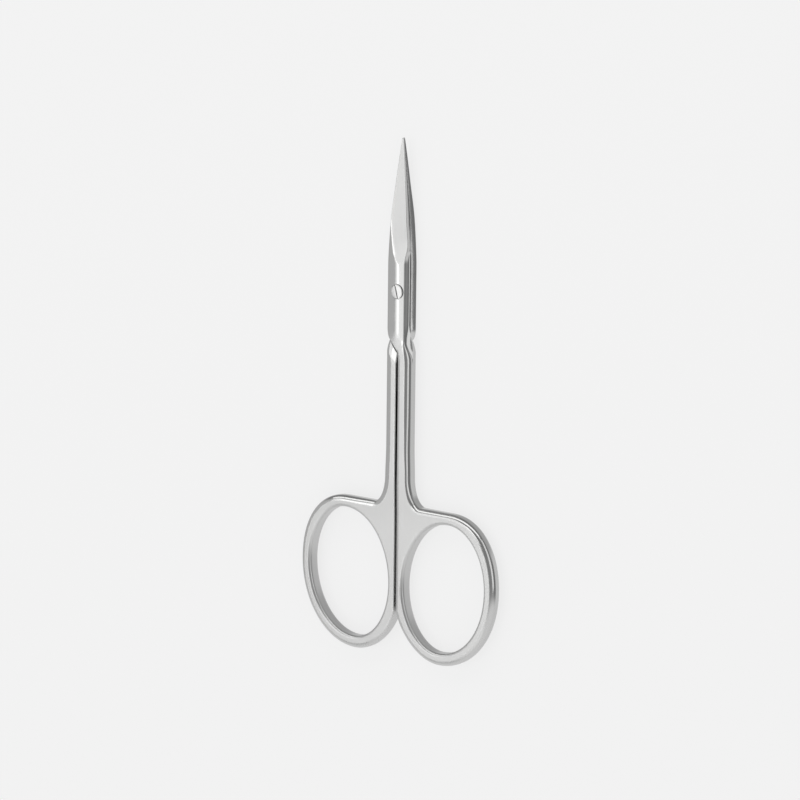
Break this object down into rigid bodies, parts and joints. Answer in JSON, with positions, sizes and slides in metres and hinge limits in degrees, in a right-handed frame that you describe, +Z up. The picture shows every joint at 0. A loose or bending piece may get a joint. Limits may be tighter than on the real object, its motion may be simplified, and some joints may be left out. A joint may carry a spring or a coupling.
{
  "type": "nail scissors",
  "caption": "Straight nail scissors with fine pointed blades and oval finger rings; the forged steel halves turn on a slotted pivot screw.",
  "frame": {"origin": "centre of the bounding box on the plane that the closed scissors lie on", "axes": "+Y along the closed blades towards the tips, +X across, towards the upper half's finger ring, +Z up out of the front face; the pivot's axis is parallel to +Z"},
  "size_m": [0.0444, 0.092, 0.0029],
  "materials": {
    "half_steel": "stainless steel, ground flat faces satin, rounded edges polished bright",
    "screw_steel": "stainless steel, turned and polished"
  },
  "bodies": {
    "lower": {"lower_half": "half_steel", "pivot_screw": "screw_steel"},
    "upper": {"upper_half": "half_steel"}
  },
  "joints": [
    {"name": "pivot", "type": "hinge", "parent": "lower", "child": "upper", "pos_m": [0, 0.0192, 0.00135], "axis": [0, 0, 1], "range_deg": [0, 110]}
  ]
}
